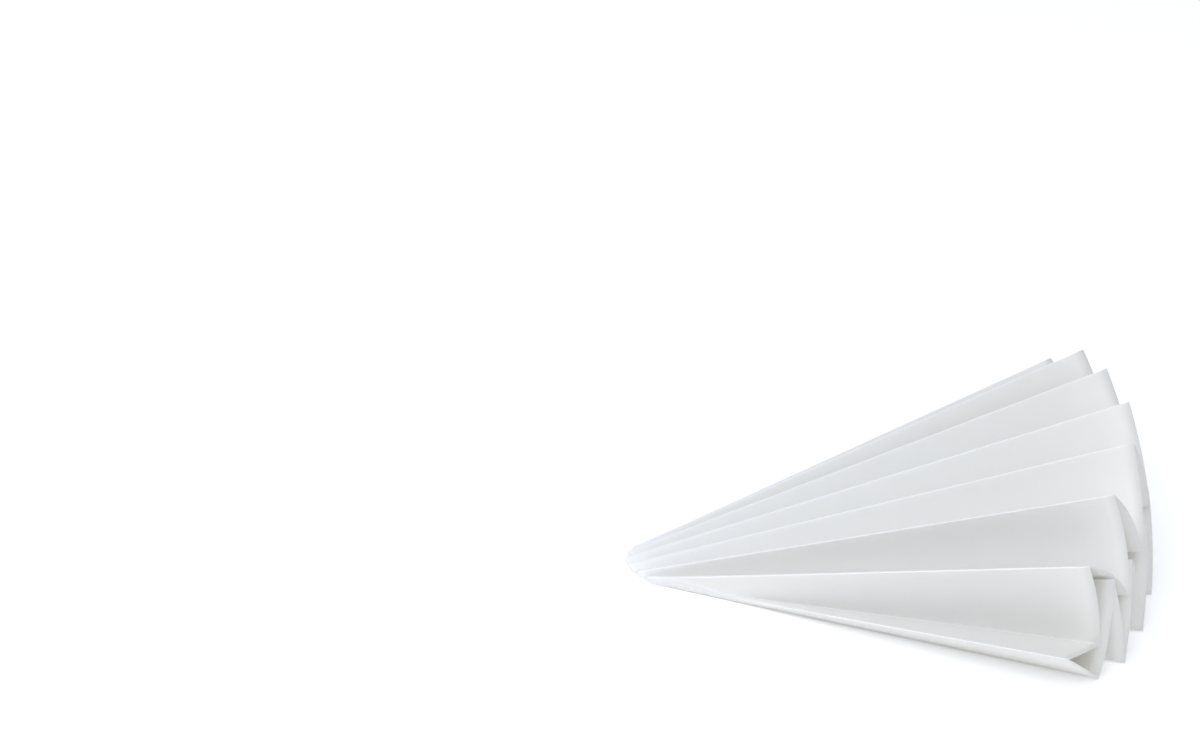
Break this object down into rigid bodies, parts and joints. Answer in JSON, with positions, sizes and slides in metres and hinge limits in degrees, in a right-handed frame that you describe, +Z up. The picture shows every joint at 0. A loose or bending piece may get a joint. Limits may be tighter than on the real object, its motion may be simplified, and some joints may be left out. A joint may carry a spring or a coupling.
{
  "type": "fluted filter paper",
  "caption": "Round paper filter folded in half and pleated like a fan to a blunt point, lying on its side with the pleats half open.",
  "frame": {"origin": "centre of the paper circle, at the blunt point, on the table", "axes": "+X along the middle of the fan from the point to the rim, +Y to the back end of the half fold, +Z up from the table"},
  "size_m": [0.1218, 0.1423, 0.0392],
  "materials": {
    "paper": "matt, fine fibrous filter paper, off-white"
  },
  "bodies": {
    "root": {"filter_paper": "paper"}
  },
  "joints": []
}
